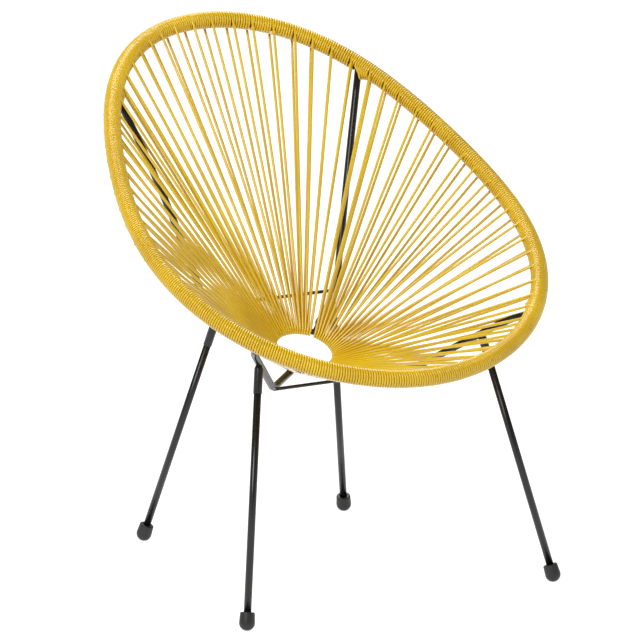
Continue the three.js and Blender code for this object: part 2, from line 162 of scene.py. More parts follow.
def carried_frames(points, closed=False):
    """Tangents and a carried pair of cross directions along a route, without twist."""
    count = len(points)
    tangents = np.empty_like(points)
    tangents[1:-1] = points[2:] - points[:-2]
    if closed:
        tangents[0] = points[1] - points[-1]
        tangents[-1] = points[0] - points[-2]
    else:
        tangents[0] = points[1] - points[0]
        tangents[-1] = points[-1] - points[-2]
    tangents /= np.linalg.norm(tangents, axis=1)[:, None]
    guess = np.array([0.0, 0.0, 1.0])
    if abs(tangents[0] @ guess) > NEARLY_UPRIGHT:
        guess = np.array([1.0, 0.0, 0.0])
    normals = np.empty_like(points)
    normals[0] = unit(guess - tangents[0] * (guess @ tangents[0]))
    for i in range(1, count):
        carried = normals[i - 1] - tangents[i] * (normals[i - 1] @ tangents[i])
        normals[i] = unit(carried)
    return tangents, normals, np.cross(tangents, normals)


def tube_mesh(points, radii, sides, closed=False):
    """Vertices and faces, in millimetres, of a round tube along a route, with closed ends."""
    points = np.asarray(points, float)
    count = len(points)
    radii = np.broadcast_to(np.asarray(radii, float), (count,))
    tangents, normals, sideways = carried_frames(points, closed)
    turns = np.arange(sides) * TURN / sides
    cosines, sines = np.cos(turns), np.sin(turns)
    if closed:
        # The carried direction is turned back evenly, so that the last ring meets the first
        last = normals[-1] - tangents[0] * (normals[-1] @ tangents[0])
        slip = math.atan2(last @ sideways[0], last @ normals[0])
        back = -slip * np.arange(count) / count
    else:
        back = np.zeros(count)
    rings = []
    for i in range(count):
        c, s = math.cos(back[i]), math.sin(back[i])
        u = normals[i] * c + sideways[i] * s
        v = sideways[i] * c - normals[i] * s
        rings.append(points[i] + radii[i] * (np.outer(cosines, u) + np.outer(sines, v)))
    verts = np.concatenate(rings)
    faces = []
    spans = count if closed else count - 1
    for i in range(spans):
        a, b = i * sides, ((i + 1) % count) * sides
        for j in range(sides):
            k = (j + 1) % sides
            faces.append((a + j, a + k, b + k, b + j))
    if not closed:
        faces.append(tuple(reversed(range(sides))))
        faces.append(tuple(range((count - 1) * sides, count * sides)))
    return verts, faces


def tube_object(name, points, radii, sides, material, closed=False):
    """A round tube along a route in millimetres."""
    verts, faces = tube_mesh(points, radii, sides, closed)
    return mesh_object(name, verts * MM, faces, material)


def lathe_object(name, profile, sides, place, up, material):
    """A turned piece: (radius, height) pairs about a line through place along up. A pair at radius 0
    closes an end, and a profile that ends where it starts closes on itself."""
    up = unit(np.asarray(up, float))
    guess = np.array([1.0, 0.0, 0.0])
    u = unit(guess - up * (guess @ up))
    v = np.cross(up, u)
    loops = profile[0] == profile[-1]
    pairs = profile[:-1] if loops else profile
    verts, rows = [], []
    for radius, height in pairs:
        middle = place + up * height
        if radius == 0:
            rows.append([len(verts)])
            verts.append(middle)
            continue
        rows.append(list(range(len(verts), len(verts) + sides)))
        for j in range(sides):
            turn = j * TURN / sides
            verts.append(middle + radius * (u * math.cos(turn) + v * math.sin(turn)))
    faces = []
    spans = len(rows) if loops else len(rows) - 1
    for i in range(spans):
        a, b = rows[i], rows[(i + 1) % len(rows)]
        for j in range(sides):
            k = (j + 1) % sides
            corners = [a[j % len(a)], a[k % len(a)], b[k % len(b)], b[j % len(b)]]
            face = []
            for corner in corners:
                if corner not in face:
                    face.append(corner)
            if len(face) > 2:
                faces.append(tuple(face))
    return mesh_object(name, np.array(verts) * MM, faces, material)


# A rounding takes no more of an edge than the edge's length over this
EDGE_PARTS = 2.2


def rounded(corners, radius):
    """A profile with each inner corner rounded over the given radius."""
    out = [corners[0]]
    for i in range(1, len(corners) - 1):
        p, q, r = (np.array(corners[j], float) for j in (i - 1, i, i + 1))
        reach = min(radius, np.linalg.norm(p - q) / EDGE_PARTS, np.linalg.norm(r - q) / EDGE_PARTS)
        a, b = q + unit(p - q) * reach, q + unit(r - q) * reach
        for k in range(ROUNDING_STEPS + 1):
            t = k / ROUNDING_STEPS
            point = a * (1 - t) ** 2 + q * 2 * t * (1 - t) + b * t * t
            out.append((float(point[0]), float(point[1])))
    out.append(corners[-1])
    return out


def rim_point(angle):
    """The hoop's middle line. The angle is 0 at the top and grows towards the sitter's left."""
    c = math.cos(angle)
    width = (1 - WIDE_FRONT_SHARE * c + SHOULDER_SHARE * (c * c - 0.5)
             + CHEEK_SHARE * c ** 3 + HIP_SHARE * c ** 4)
    along = RIM_HALF_LENGTH * (c + NOSE_SHARE * (c * c - 1) + CROWN_SHARE * (c ** 3 - c))
    lift = RIM_HALF_LENGTH * (SADDLE_SHARE * (c * c - 0.5) + DISH_SHARE * c ** 4)
    return np.array([
        RIM_HALF_WIDTH * math.sin(angle) * width,
        RIM_CENTRE_Y + along * math.cos(RIM_TILT) - lift * math.sin(RIM_TILT),
        RIM_CENTRE_Z + along * math.sin(RIM_TILT) + lift * math.cos(RIM_TILT)])


# Arcs run along the hoop from its top in millimetres, and are read from a fine table
ARC_STEPS = 3600
RIM_TABLE = np.array([rim_point(TURN * i / ARC_STEPS) for i in range(ARC_STEPS + 1)])
ARC_TABLE = np.concatenate([[0.0], np.cumsum(np.linalg.norm(np.diff(RIM_TABLE, axis=0), axis=1))])
RIM_LENGTH = float(ARC_TABLE[-1])
PAIR_PITCH = RIM_LENGTH / PAIR_COUNT
ANGLES = np.linspace(0, TURN, ARC_STEPS + 1)

RING_UP = np.array([0.0, -math.sin(RING_TILT), math.cos(RING_TILT)])


def arc_at(angle):
    """The arc from the top to an angle of rim_point."""
    return float(np.interp(angle, ANGLES, ARC_TABLE))


def angle_at(arc):
    """The angle of rim_point at an arc."""
    return float(np.interp(arc % RIM_LENGTH, ARC_TABLE, ANGLES))


def ring_outward(angle):
    """The direction out from the ring's centre. Its angle is 0 at the back, as the rim's is."""
    return np.array([math.sin(angle), math.cos(angle) * math.cos(RING_TILT),
                     math.cos(angle) * math.sin(RING_TILT)])


def ring_point(angle):
    return RING_CENTRE + RING_RADIUS * ring_outward(angle)


# Half the arc over which the hoop's direction is taken
ARC_REACH = 2


def rim_frame(arc):
    """Centre of the hoop at an arc, and the directions along it, towards the ring and to the seat."""
    centre = rim_point(angle_at(arc))
    along = unit(rim_point(angle_at(arc + ARC_REACH)) - rim_point(angle_at(arc - ARC_REACH)))
    inward = ring_point(TURN * arc / RIM_LENGTH) - centre
    inward = unit(inward - along * (inward @ along))
    return centre, along, inward, unit(np.cross(inward, along))


FRAME_STEPS = 1320
FRAME_ARCS = np.linspace(0, RIM_LENGTH, FRAME_STEPS + 1)
FRAME_ROWS = [rim_frame(a) for a in FRAME_ARCS]
FRAME_PARTS = [np.array([row[i] for row in FRAME_ROWS]) for i in range(4)]


def frames_at(arcs):
    """The same frames for a whole array of arcs, read from a fine table."""
    arcs = np.asarray(arcs, float) % RIM_LENGTH
    parts = []
    for part in FRAME_PARTS:
        columns = [np.interp(arcs, FRAME_ARCS, part[:, i]) for i in range(3)]
        parts.append(np.stack(columns, axis=1))
    for i in (1, 2, 3):
        parts[i] /= np.linalg.norm(parts[i], axis=1)[:, None]
    return parts


def bent_route(corners, trims):
    """Straight runs between corners, each corner rounded over its trim."""
    stations = [corners[0]]
    for i in range(1, len(corners) - 1):
        corner = corners[i]
        before = corner + unit(corners[i - 1] - corner) * trims[i - 1]
        after = corner + unit(corners[i + 1] - corner) * trims[i - 1]
        for k in range(BEND_STEPS + 1):
            t = k / BEND_STEPS
            stations.append(before * (1 - t) ** 2 + corner * 2 * t * (1 - t) + after * t * t)
    stations.append(corners[-1])
    return np.array(stations)


def mirrored(point, side):
    """The point itself for side 1, the sitter's left, and its mirror image for side -1."""
    return np.array([side * point[0], point[1], point[2]])


def under_hoop(angle):
    """The place on the hoop's under side where an arm is welded on."""
    return rim_point(angle) - rim_frame(arc_at(angle))[3] * ARM_WELD_DROP


def rear_weld_arc(side):
    """How far from the top a rear arm meets the hoop: the right one a little nearer than the left."""
    return arc_at(REAR_ARM_RIM_ANGLE) - (REAR_RIGHT_WELD_SHIFT if side < 0 else 0.0)


def rear_route(side):
    """A rear arm: from the hoop down the back, forward at the knee and up to the ring."""
    rim = rim_point(REAR_ARM_RIM_ANGLE)
    corners = [under_hoop(angle_at(rear_weld_arc(side))), rim + REAR_BOW_OFFSET,
               RING_CENTRE + REAR_KNEE_OFFSET, ring_point(REAR_ARM_RING_ANGLE)]
    return bent_route([mirrored(c, side) for c in corners], REAR_TRIMS)


def front_route(side):
    """A front arm: from the hoop in under the seat to its lowest bend and up to the ring."""
    rim = rim_point(FRONT_ARM_RIM_ANGLE)
    corners = [under_hoop(FRONT_ARM_RIM_ANGLE), rim + FRONT_SHOULDER_OFFSET,
               RING_CENTRE + FRONT_VERTEX_OFFSET, ring_point(FRONT_ARM_RING_ANGLE)]
    return bent_route([mirrored(c, side) for c in corners], FRONT_TRIMS)


def place_on(route, share):
    """The point at a share of a route's length."""
    steps = np.linalg.norm(np.diff(route, axis=0), axis=1)
    left = share * steps.sum()
    i = 0
    while left > steps[i] and i < len(steps) - 1:
        left -= steps[i]
        i += 1
    return route[i] + (route[i + 1] - route[i]) * left / steps[i]


def material(name):
    """A new material with a bare shader wired to its output."""
    mat = bpy.data.materials.new(name)
    mat.use_nodes = True
    nodes = mat.node_tree.nodes
    nodes.clear()
    out = nodes.new("ShaderNodeOutputMaterial")
    shader = nodes.new("ShaderNodeBsdfPrincipled")
    mat.node_tree.links.new(shader.outputs["BSDF"], out.inputs["Surface"])
    return mat, nodes, mat.node_tree.links, shader


def srgb(r, g, b):
    """A linear colour from one given in the usual 0 to 255."""
    def line(v):
        v /= 255
        return v / 12.92 if v <= 0.04045 else ((v + 0.055) / 1.055) ** 2.4
    return line(r), line(g), line(b), 1.0


def noise(nodes, links, coords, scale, detail):
    node = nodes.new("ShaderNodeTexNoise")
    node.inputs["Scale"].default_value = scale
    node.inputs["Detail"].default_value = detail
    links.new(coords, node.inputs["Vector"])
    return node.outputs["Fac"]


def ramp(nodes, links, value, stops):
    """A colour read from a value, by stops of place and colour."""
    node = nodes.new("ShaderNodeValToRGB")
    elements = node.color_ramp.elements
    while len(elements) < len(stops):
        elements.new(0.5)
    for element, (place, colour) in zip(elements, stops):
        element.position = place
        element.color = colour
    links.new(value, node.inputs["Fac"])
    return node.outputs["Color"]


def spread(nodes, links, value, low, high):
    """A value of 0 to 1 spread from low to high."""
    node = nodes.new("ShaderNodeMapRange")
    node.inputs["To Min"].default_value = low
    node.inputs["To Max"].default_value = high
    links.new(value, node.inputs["Value"])
    return node.outputs["Result"]


def bump(nodes, links, value, strength, distance):
    node = nodes.new("ShaderNodeBump")
    node.inputs["Strength"].default_value = strength
    node.inputs["Distance"].default_value = distance
    links.new(value, node.inputs["Height"])
    return node.outputs["Normal"]


def object_coords(nodes):
    return nodes.new("ShaderNodeTexCoord").outputs["Object"]


def cord_material():
    """Glossy golden vinyl with painted shade: its colour is multiplied by a deeper, darker orange in the
    hollows between its turns and strands, where ambient occlusion finds them.
    """
    mat, nodes, links, shader = material("golden_cord")
    coords = object_coords(nodes)
    broad = noise(nodes, links, coords, 9.0, 2.0)
    colour = ramp(nodes, links, broad, [
        (0.30, srgb(216, 179, 6)), (0.52, srgb(226, 189, 9)), (0.72, srgb(233, 199, 18))])
    # Painted shade: ambient occlusion darkens the base colour to a deep orange in the hollows between
    # turns and strands, where light hardly reaches
    grooves = nodes.new("ShaderNodeAmbientOcclusion")
    grooves.samples = 6
    grooves.inputs["Distance"].default_value = 0.014
    shade = nodes.new("ShaderNodeMix")
    shade.data_type = "RGBA"
    shade.blend_type = "MULTIPLY"
    shade.inputs["Factor"].default_value = 1.0
    painted_hollow_shade = ramp(nodes, links, grooves.outputs["AO"], [
        (0.12, srgb(210, 116, 8)), (0.82, srgb(255, 255, 255))])
    links.new(colour, shade.inputs["A"])
    links.new(painted_hollow_shade, shade.inputs["B"])
    links.new(shade.outputs["Result"], shader.inputs["Base Color"])
    fine = noise(nodes, links, coords, 260.0, 4.0)
    links.new(spread(nodes, links, fine, 0.28, 0.36), shader.inputs["Roughness"])
    links.new(bump(nodes, links, fine, 0.05, 0.0002), shader.inputs["Normal"])
    shader.inputs["IOR"].default_value = 1.5
    shader.inputs["Specular IOR Level"].default_value = 0.3
    shader.inputs["Coat Weight"].default_value = 0.8
    shader.inputs["Coat Roughness"].default_value = 0.2
    return mat


def steel_material():
    """Satin black powder coat with a fine grain."""
    mat, nodes, links, shader = material("black_coated_steel")
    coords = object_coords(nodes)
    broad = noise(nodes, links, coords, 14.0, 2.0)
    colour = ramp(nodes, links, broad, [
        (0.35, srgb(16, 16, 17)), (0.65, srgb(24, 23, 24))])
    links.new(colour, shader.inputs["Base Color"])
    grain = noise(nodes, links, coords, 900.0, 3.0)
    links.new(spread(nodes, links, grain, 0.22, 0.34), shader.inputs["Roughness"])
    links.new(bump(nodes, links, grain, 0.10, 0.0002), shader.inputs["Normal"])
    shader.inputs["IOR"].default_value = 1.5
    return mat


def rubber_material():
    """Matt black moulded rubber."""
    mat, nodes, links, shader = material("black_rubber")
    coords = object_coords(nodes)
    broad = noise(nodes, links, coords, 40.0, 3.0)
    colour = ramp(nodes, links, broad, [
        (0.30, srgb(24, 23, 23)), (0.70, srgb(34, 33, 33))])
    links.new(colour, shader.inputs["Base Color"])
    grain = noise(nodes, links, coords, 700.0, 4.0)
    links.new(spread(nodes, links, grain, 0.42, 0.56), shader.inputs["Roughness"])
    links.new(bump(nodes, links, grain, 0.25, 0.0003), shader.inputs["Normal"])
    return mat


CORD = cord_material()
STEEL = steel_material()
RUBBER = rubber_material()


def settle(piece, node):
    """Puts the piece under the root body and hides the solid that it stands for."""
    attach(piece, "root")
    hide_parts(node)


hoop_arcs = np.linspace(0, RIM_LENGTH, HOOP_STEPS + 1)[:-1]
hoop_points = frames_at(hoop_arcs)[0]
settle(tube_object("rim_hoop_rod", hoop_points, HOOP_RADIUS, HOOP_SIDES, STEEL, closed=True),
       "rim_hoop")

ring_points = [ring_point(TURN * i / RING_STEPS) for i in range(RING_STEPS)]
settle(tube_object("centre_ring_rod", ring_points, RING_ROD_RADIUS, RING_SIDES, STEEL, closed=True),
       "centre_ring")


def arm_object(name, route):
    """An arm's tube, drawn thin where it passes between the cords to the ring."""
    end, back = route[-1], unit(route[-2] - route[-1])
    distances = [0, ARM_TIP_LENGTH]
    distances += [ARM_TIP_LENGTH + ARM_TAPER_LENGTH * k / TAPER_STEPS
                  for k in range(1, TAPER_STEPS + 1)]
    tail = [end + back * d for d in reversed(distances)]
    points = np.array(list(route[:-1]) + tail)
    radii = [ARM_RADIUS] * (len(route) - 1)
    for d in reversed(distances):
        share = eased((d - ARM_TIP_LENGTH) / ARM_TAPER_LENGTH)
        radii.append(ARM_TIP_RADIUS + (ARM_RADIUS - ARM_TIP_RADIUS) * share)
    return tube_object(name, points, radii, ARM_SIDES, STEEL)


for word, side in (("left", 1), ("right", -1)):
    settle(arm_object("rear_arm_tube_" + word, rear_route(side)),
           "rear_arm_" + word)
    settle(arm_object("front_arm_tube_" + word, front_route(side)),
           "front_arm_" + word)


def cross_bar(name, place, node):
    """A thin rod across the chair, between a place and its mirror image."""
    start, end = mirrored(place, -1), mirrored(place, 1)
    points = [start + (end - start) * k / BAR_STEPS for k in range(BAR_STEPS + 1)]
    settle(tube_object(name, points, CROSS_BAR_RADIUS, BAR_SIDES, STEEL), node)


cross_bar("rear_cross_rod", place_on(rear_route(1), REAR_BAR_SHARE), "rear_cross_bar")
# The middle of the front arm's second bend: its route has one station before the first bend
VERTEX_STATION = 1 + (BEND_STEPS + 1) + BEND_STEPS // 2
cross_bar("front_cross_rod", front_route(1)[VERTEX_STATION] - FRONT_BAR_DROP, "front_cross_bar")

# The height of the middle of the half ball under a cap, and the radius of the sockets' and caps' bores
FOOT_Z = CAP_RADIUS - CAP_FLAT_DEPTH
BORE = LEG_RADIUS + FIT_GAP


def socket_profile(length, shoulder):
    """A leg socket, open below, with a neck up into the arm at the length."""
    bottom = shoulder - SOCKET_LENGTH
    return rounded([
        (0, shoulder - SOCKET_ROOF), (BORE, shoulder - SOCKET_ROOF), (BORE, bottom),
        (SOCKET_RADIUS, bottom), (SOCKET_RADIUS, shoulder),
        (NECK_RADIUS, length - ARM_RADIUS + NECK_SEAT), (NECK_RADIUS, length), (0, length)],
        SOCKET_ROUNDING)


def leg_profile(shoulder):
    """A leg's tube wall, from just above the cap's floor to just under the socket's roof."""
    bottom = CAP_FLOOR + FIT_GAP - CAP_RADIUS
    top = shoulder - SOCKET_ROOF - FIT_GAP
    inside = LEG_RADIUS - LEG_WALL
    return [(inside, bottom), (LEG_RADIUS, bottom), (LEG_RADIUS, top), (inside, top),
            (inside, bottom)]


def cap_profile():
    """A foot cap: a half ball below, a slightly tapered sleeve with a chamfer above, and its bore."""
    ball = [(0, -CAP_RADIUS)]
    for k in range(1, CAP_STEPS + 1):
        turn = math.pi / 2 * k / CAP_STEPS
        ball.append((CAP_RADIUS * math.sin(turn), -CAP_RADIUS * math.cos(turn)))
    top = CAP_HEIGHT - CAP_RADIUS
    sleeve = rounded([
        (CAP_RADIUS, 0), (CAP_TOP_RADIUS, top - CAP_CHAMFER),
        (CAP_TOP_RADIUS - CAP_CHAMFER, top), (BORE, top),
        (BORE, CAP_FLOOR - CAP_RADIUS), (0, CAP_FLOOR - CAP_RADIUS)], CAP_ROUNDING)
    return ball + sleeve[1:]


def leg_set(end, word, foot, top, neck_length):
    """One leg with its socket and cap, along the line from the foot to its place on the arm."""
    up, length = unit(top - foot), float(np.linalg.norm(top - foot))
    shoulder = length - ARM_RADIUS - neck_length
    settle(lathe_object(f"{end}_socket_tube_{word}", socket_profile(length, shoulder), LEG_SIDES,
                        foot, up, STEEL), f"{end}_leg_socket_{word}")
    settle(lathe_object(f"{end}_leg_tube_{word}", leg_profile(shoulder), LEG_SIDES,
                        foot, up, STEEL), f"{end}_leg_{word}")
    cap = lathe_object(f"{end}_cap_{word}", cap_profile(), CAP_SIDES, foot, up, RUBBER)
    # The half ball is flat where it stands on the floor
    for vertex in cap.data.vertices:
        vertex.co.z = max(vertex.co.z, 0.0)
    settle(cap, f"{end}_foot_cap_{word}")


for end, (foot_x, foot_y), top, neck_length in (
        ("front", FRONT_FOOT, place_on(front_route(1), FRONT_LEG_SHARE), FRONT_NECK_LENGTH),
        ("rear", REAR_FOOT, place_on(rear_route(1), REAR_LEG_SHARE), REAR_NECK_LENGTH)):
    for word, side in (("left", 1), ("right", -1)):
        leg_set(end, word, np.array([side * foot_x, foot_y, FOOT_Z]), mirrored(top, side),
                neck_length)


# The cord is wound on the hoop and strung to the ring and back, one unbroken line per run. Turns round
# the winding are angles: 0 at its inner edge, a quarter turn on its seat side, minus a quarter turn on
# its under side, and a half turn at its outer edge.

# The cord's radius where it is strung, looped round the ring and wound. In the photo it is thicker
# than in the solids, and its winding stands farther out by the growth and nearer the ring by the shift
LAY_RADIUS = 2.4
LOOP_LAY_RADIUS = 2.2
TURN_LAY_RADIUS = 2.18
WOUND_GROWTH = 1.0
WOUND_SHIFT = 1.25
TURN_RADIUS = WOUND_RADIUS + WOUND_GROWTH - TURN_LAY_RADIUS
CORD_SIDES = 10

# The turns: how many go with a pair, how near each other they may lie, how far each steps on along the
# rim where it crosses the seat side, and how far and how sharply they spread at the inner edge
TURNS_PER_PAIR = 9
TURN_PITCH = PAIR_PITCH / TURNS_PER_PAIR
CLOSE_PITCH = 4.16
CROSS_SHIFT = 1.8
GATHER_SHIFT = 1.4
GATHER_TOP = 1.3
GATHER_SLOPE = 5
WIND_STEPS = 24
LEAST_STEPS = 3

# The turns' small unevenness: along the rim as (millimetres, ripples, phase), and out from it
WOBBLES = ((0.05, 0.73, 1.1), (0.03, 2.31, 0.0))
LIFT = 0.015
LIFT_RIPPLE = 1.17
LIFT_TWIST = 0.4

# The under strands come back this far beside their own turns, by under_sway's share. They ride up on
# the neighbours by this part of the cord's thickness, and are back in place when this part of the way
# to the outer edge is left
UNDER_DRIFT = 3.6
RIDE_SHARE = 0.9
LED_HOME = 0.35

# under_sway's share on the sitter's right, the angle from the top at which it is reached, the angles at
# which the sway begins to end on the right and has ended on the left, and the angle that this takes
RIGHT_SWAY = 0.4
RIGHT_SWAY_ANGLE = 0.9
RIGHT_SWAY_END = 1.7
LEFT_SWAY_END = 2.55
SWAY_FADE = 0.25

# Steps of the strands and of their loops round the ring, and the millimetres by which the three loops
# beside an arm lean over it
STRAND_STEPS = 8
LOOP_STEPS = 10
CLOSING_LEANS = (2.9, 1.9, 0.95)

# Beside an arm the turns pile up over this length and this high, fade over this length, and are higher
# by the step every other turn. They part within the first angle of the arm round the winding, and are
# closed beyond the second
PILE_LENGTH = 15.0
PILE_HEIGHT = 6.5
PILE_FADE = 14.0
PILE_STEP = 1.8
PILE_POWER = 4
PARTED_TURN = math.radians(28)
CLOSED_TURN = math.radians(56)

# Millimetres by which some pairs stand off the even spacing round the rim. Pairs count from the top
# towards the sitter's left, and with a minus towards the right
PAIR_DRIFTS = {
    -17: 5.0, -16: 6.0, -15: 6.0, -14: 6.0, -13: 6.0, -12: 5.0, -11: 4.0, -10: 5.0, -9: 6.0,
    -8: 5.0, -7: 2.0, -5: 0.0, -4: -1.5, -3: -6.0, -2: -7.5, -1: -5.5, 0: -4.5, 1: -2.0, 2: -4.0,
    3: -3.0, 4: -1.0, 5: -5.0, 6: -5.5, 7: -3.5, 9: -4.5, 10: -8.0, 11: -2.5, 12: 0.5, 13: 1.0,
    14: 7.5, 15: 5.0, 16: 5.0, 17: 3.0, 18: 3.0, 19: 4.5, 20: 5.0, 21: 3.0, 22: 3.0, 23: 4.5,
    24: 6.0, 25: 0.5, 26: 1.5}

# Where the four arms meet the rim and the ring, from the rear left one round by the front
ARM_RIM_ARCS = [rear_weld_arc(1), arc_at(FRONT_ARM_RIM_ANGLE),
                RIM_LENGTH - arc_at(FRONT_ARM_RIM_ANGLE), RIM_LENGTH - rear_weld_arc(-1)]
ARM_RING_ANGLES = [REAR_ARM_RING_ANGLE, FRONT_ARM_RING_ANGLE, TURN - FRONT_ARM_RING_ANGLE,
                   TURN - REAR_ARM_RING_ANGLE]
# Half the room that an arm takes among the loops on the ring, and among the strands at the rim
ARM_PASSAGE = ARM_TIP_RADIUS + CORD_RADIUS + FIT_GAP
ARM_RIM_PASSAGE = ARM_RADIUS + CORD_RADIUS + FIT_GAP


def wrapped_arc(arc):
    """The same place on the rim, as an arc between minus and plus half its length."""
    return (arc + RIM_LENGTH / 2) % RIM_LENGTH - RIM_LENGTH / 2


def pair_arc(pair):
    """The arc at which a pair leaves the rim."""
    own = (pair + PAIR_COUNT // 2) % PAIR_COUNT - PAIR_COUNT // 2
    return FIRST_PAIR_ARC + pair * PAIR_PITCH + PAIR_DRIFTS.get(own, 0.0)


def sector_of(pair):
    """Which stretch of the rim between two arms a pair is in. The one over the top is 0."""
    arc = pair_arc(pair) % RIM_LENGTH
    return sum(1 for a in ARM_RIM_ARCS if arc > a) % len(ARM_RIM_ARCS)


def loop_angle(pair):
    """Between two arms the loops share the ring evenly, and leave each arm room to reach it."""
    pair = pair % PAIR_COUNT
    sector = sector_of(pair)
    members = [p for p in range(PAIR_COUNT) if sector_of(p) == sector]
    if sector == 0:
        members.sort(key=lambda p: p - PAIR_COUNT if pair_arc(p) > RIM_LENGTH / 2 else p)
        start = ARM_RING_ANGLES[3] - TURN
    else:
        start = ARM_RING_ANGLES[sector - 1]
    end = ARM_RING_ANGLES[sector]
    room = ARM_PASSAGE / RING_RADIUS
    share = members.index(pair) / (len(members) - 1)
    return start + room + share * (end - start - 2 * room)


def tangent_turn(arc, target, side):
    """The turn on the winding from which a straight strand runs clear to the target."""
    centre, along, inward, seat = rim_frame(arc)
    reach = target - centre - inward * WOUND_SHIFT
    x, y = reach @ inward, reach @ seat
    return math.atan2(y, x) + side * math.acos(min(1.0, TURN_RADIUS / math.hypot(x, y)))


def under_sway(turn):
    """How the under strands lie beside the top ones round the rim, by the angle from its top: one way
    at the top, the other way on both sides, and straight below them at the front."""
    if turn < 0:
        sway = 1 - (1 + RIGHT_SWAY) * eased(-turn / RIGHT_SWAY_ANGLE)
        return float(sway + RIGHT_SWAY * eased((-turn - RIGHT_SWAY_END) / SWAY_FADE))
    sway = math.cos(turn)
    return sway if sway > 0 else sway * float(eased((LEFT_SWAY_END - turn) / SWAY_FADE))


def pair_places(pair):
    """Where a pair leaves the winding over the seat side and comes back to its under side: arcs and
    turns, and how far beside its own turn the under strand lies. It comes back beside an arm, never
    through it."""
    leave = pair_arc(pair)
    rod = ring_point(loop_angle(pair))
    top_turn = tangent_turn(leave, rod, 1)
    under_turn = tangent_turn(leave, rod, -1)
    back = leave - CROSS_SHIFT + TURN_PITCH * (math.pi - under_turn) / TURN
    aside = -UNDER_DRIFT * under_sway(TURN * wrapped_arc(leave) / RIM_LENGTH)
    sector = sector_of(pair)
    past_behind = wrapped_arc(back + aside - ARM_RIM_ARCS[sector - 1])
    to_ahead = wrapped_arc(ARM_RIM_ARCS[sector] - back - aside)
    if -ARM_RIM_PASSAGE < past_behind < ARM_RIM_PASSAGE:
        aside += ARM_RIM_PASSAGE - past_behind
    if -ARM_RIM_PASSAGE < to_ahead < ARM_RIM_PASSAGE:
        aside += to_ahead - ARM_RIM_PASSAGE
    return leave, top_turn, back, under_turn, aside


# Where each arm comes out of the winding: its arc, its turn, half the room that it takes along the
# rim, and the side to which the turns that would cross it are pushed
ARM_EXITS = []
for arm_arc, arm_line, push in zip(
        ARM_RIM_ARCS, (rear_route(1), front_route(1), front_route(-1), rear_route(-1)),
        (1, -1, 1, -1)):
    centre, along, inward, seat = rim_frame(arm_arc)
    heading = unit(arm_line[1] - arm_line[0])
    square = math.hypot(heading @ inward, heading @ seat)
    ARM_EXITS.append((arm_arc + TURN_RADIUS * (heading @ along) / square,
                      math.atan2(heading @ seat, heading @ inward),
                      ARM_RIM_PASSAGE / square, push))


def part_at_arms(arcs, turns, radii):
    """Pushes the turns that would cross an arm to one side of it, where they pile up and bulge."""
    for exit_arc, exit_turn, room, push in ARM_EXITS:
        delta = (turns - exit_turn + math.pi) % TURN - math.pi
        own = arcs + TURN_PITCH * delta / TURN
        reach = push * wrapped_arc(own - exit_arc) + room
        span = 2 * room + PILE_LENGTH
        inside = (reach > 0) & (reach < span)
        weight = eased((CLOSED_TURN - np.abs(delta)) / (CLOSED_TURN - PARTED_TURN))
        moved = 2 * room * (1 - reach / span)
        arcs = arcs + np.where(inside, push * moved * weight, 0)
        parity = np.round((turns - exit_turn) / TURN) % 2
        height = PILE_HEIGHT * np.exp(-reach / PILE_FADE) + PILE_STEP * parity
        height = height * (1 - (reach / span) ** PILE_POWER)
        radii = radii + np.where(inside, height * weight, 0)
    return arcs, radii


def on_winding(arcs, turns, radii):
    """Points round the hoop, about a middle line that lies nearer the ring than the hoop's own."""
    arcs, radii = part_at_arms(np.asarray(arcs, float), turns, np.asarray(radii, float))
    centres, along, inward, seat = frames_at(arcs)
    centres = centres + inward * WOUND_SHIFT
    radii = radii[:, None]
    return (centres + inward * (radii * np.cos(turns)[:, None])
            + seat * (radii * np.sin(turns)[:, None]))


def loop_closing(pair):
    """The angle by which the seat side of a loop leans over the arm beside it. The rear left arm
    stays bare."""
    own = pair % PAIR_COUNT
    sector = sector_of(own)
    lean = 0.0
    for step, reach in enumerate(CLOSING_LEANS):
        if sector != 1 and sector_of(own - step) == sector != sector_of(own - step - 1):
            lean -= reach
        if sector != 0 and sector_of(own + step) == sector != sector_of(own + step + 1):
            lean += reach
    return lean / RING_RADIUS


def loop_points(pair, top, back):
    """The loop round the ring's rod, from the seat side, round the inside of the ring, to the under
    side, with its strands' ends in line with the rim."""
    angle = loop_angle(pair)
    closing = loop_closing(pair)
    outward = ring_outward(angle)
    rod = ring_point(angle)
    toward = (top + back) / 2 - rod
    rise = math.atan2(toward @ RING_UP, toward @ outward)
    radius = RING_ROD_RADIUS + CORD_RADIUS + FIT_GAP
    points = []
    for k in range(LOOP_STEPS + 1):
        turn = rise + math.pi / 2 + math.pi * k / LOOP_STEPS
        own_angle = angle + closing * float(eased(1 - k / LOOP_STEPS))
        aim = ring_outward(own_angle) * math.cos(turn) + RING_UP * math.sin(turn)
        points.append(ring_point(own_angle) + radius * aim)
    return points


def strand(start, end):
    """The places between the two ends of a straight strand."""
    return [start + (end - start) * k / STRAND_STEPS for k in range(1, STRAND_STEPS)]


def between_strands(back, back_turn, leave):
    """The outer edge arc of the first turn after a strand comes back, the number of turns from
    there to the next strand's own, and their pitch."""
    first_outer = back + TURN_PITCH * (back_turn + math.pi) / TURN
    last_outer = leave - CROSS_SHIFT
    count = int((last_outer - first_outer) / CLOSE_PITCH)
    return first_outer, count, (last_outer - first_outer) / count


